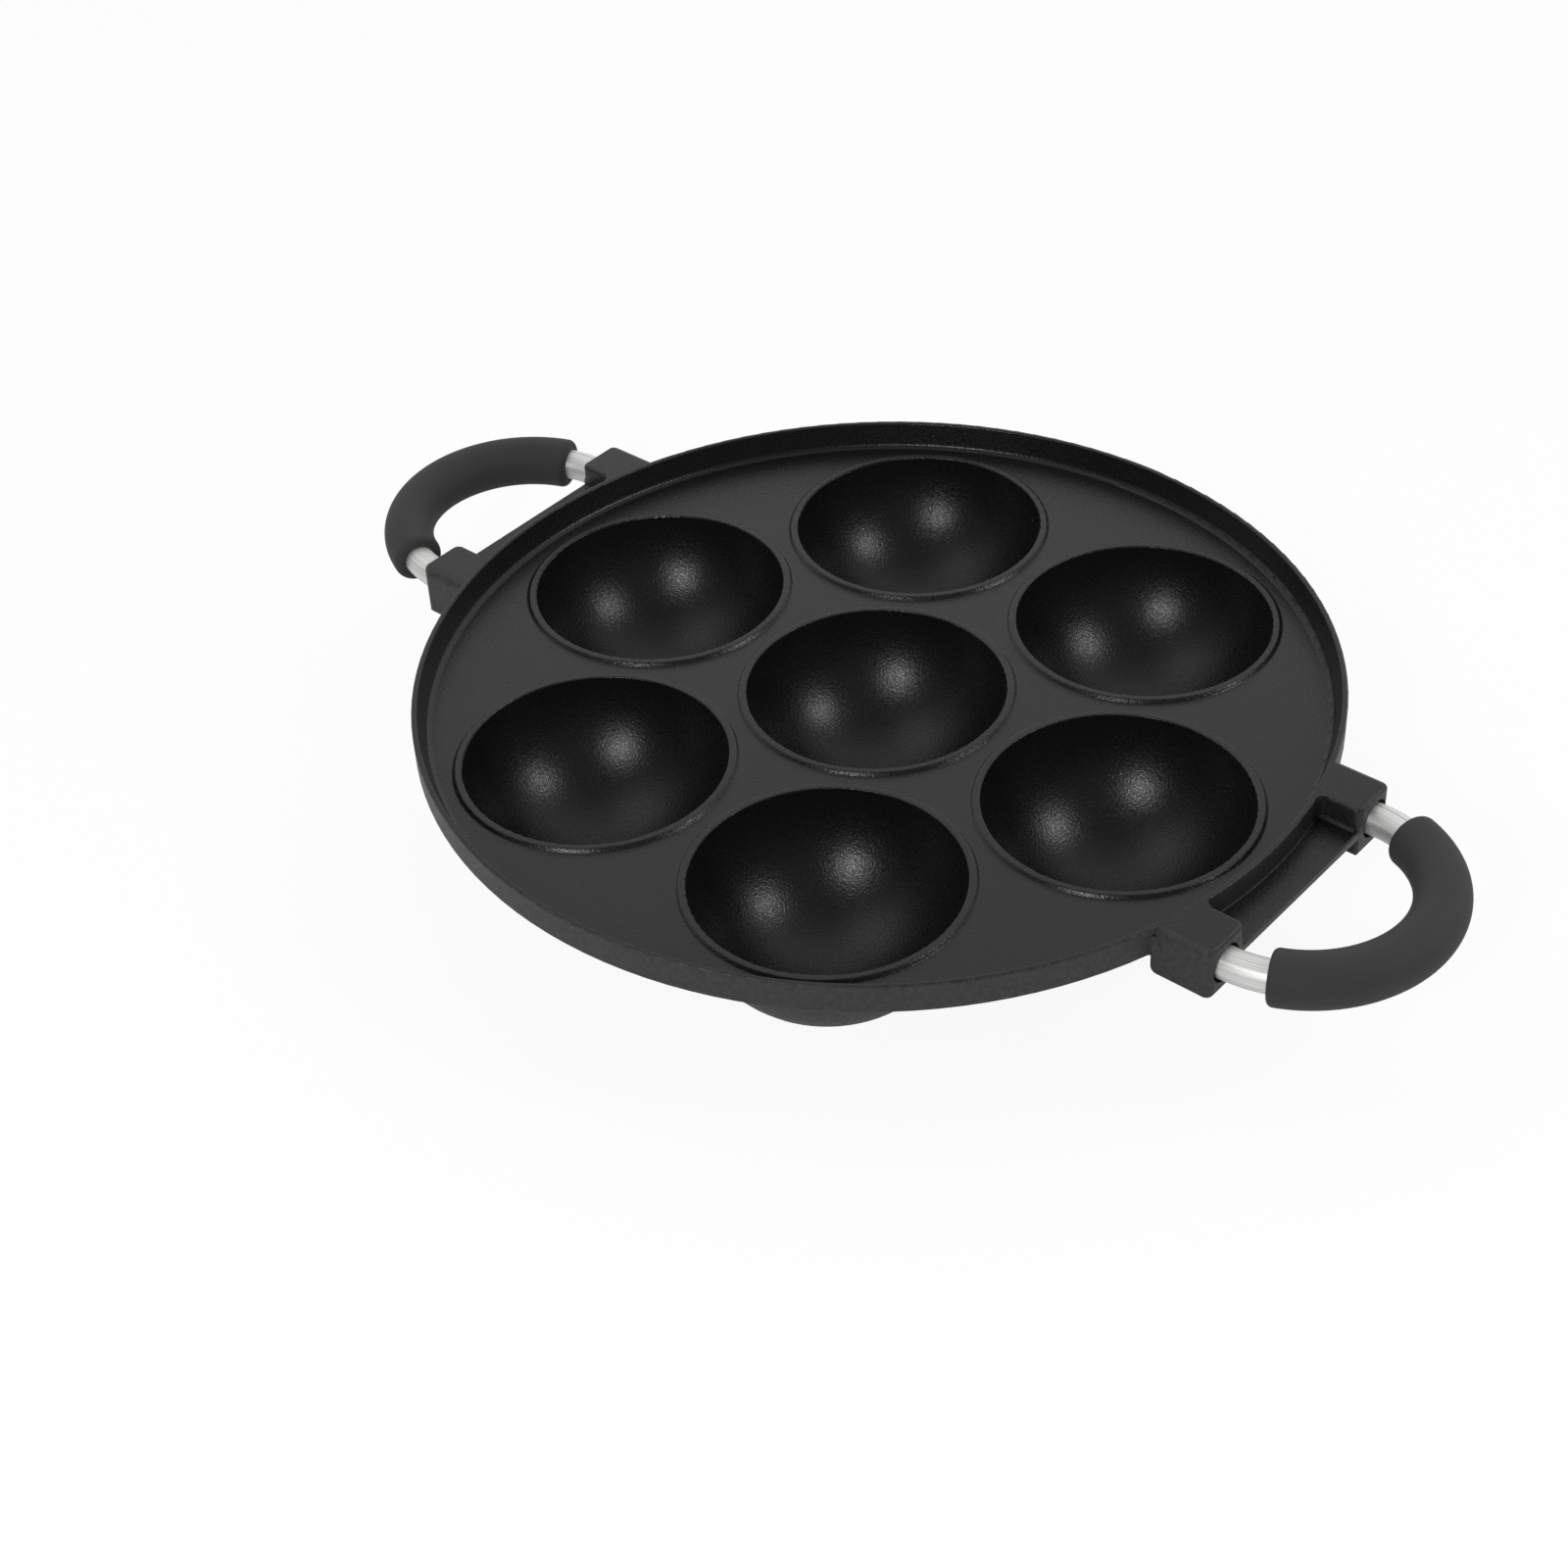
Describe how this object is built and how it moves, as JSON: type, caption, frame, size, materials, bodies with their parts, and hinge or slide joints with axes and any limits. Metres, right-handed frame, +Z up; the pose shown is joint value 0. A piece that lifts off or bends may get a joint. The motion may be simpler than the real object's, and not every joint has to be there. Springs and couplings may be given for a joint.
{
  "type": "aebleskiver pan",
  "caption": "Round cast pan with hemispherical wells inside a low rim, and a bent tube handle with a soft sleeve pinned into lugs on each side.",
  "frame": {"origin": "centre of the pan, in the plane of the feet under the bowls", "axes": "+Z up; the two handles lie on the X axis; the pan is symmetric about X and Y"},
  "size_m": [0.3228, 0.2304, 0.0407],
  "materials": {
    "coated_cast_aluminium": "dark grey non-stick coating on cast aluminium, satin with a fine cast texture",
    "brushed_tube": "light satin metal, brushed along the tube",
    "soft_grip": "matte grey silicone sleeve",
    "pin_steel": "plain steel"
  },
  "bodies": {
    "root": {"pan_body": "coated_cast_aluminium", "handle_tube_right": "brushed_tube", "handle_tube_left": "brushed_tube", "handle_grip_right": "soft_grip", "handle_grip_left": "soft_grip", "handle_pins": "pin_steel"}
  },
  "joints": []
}
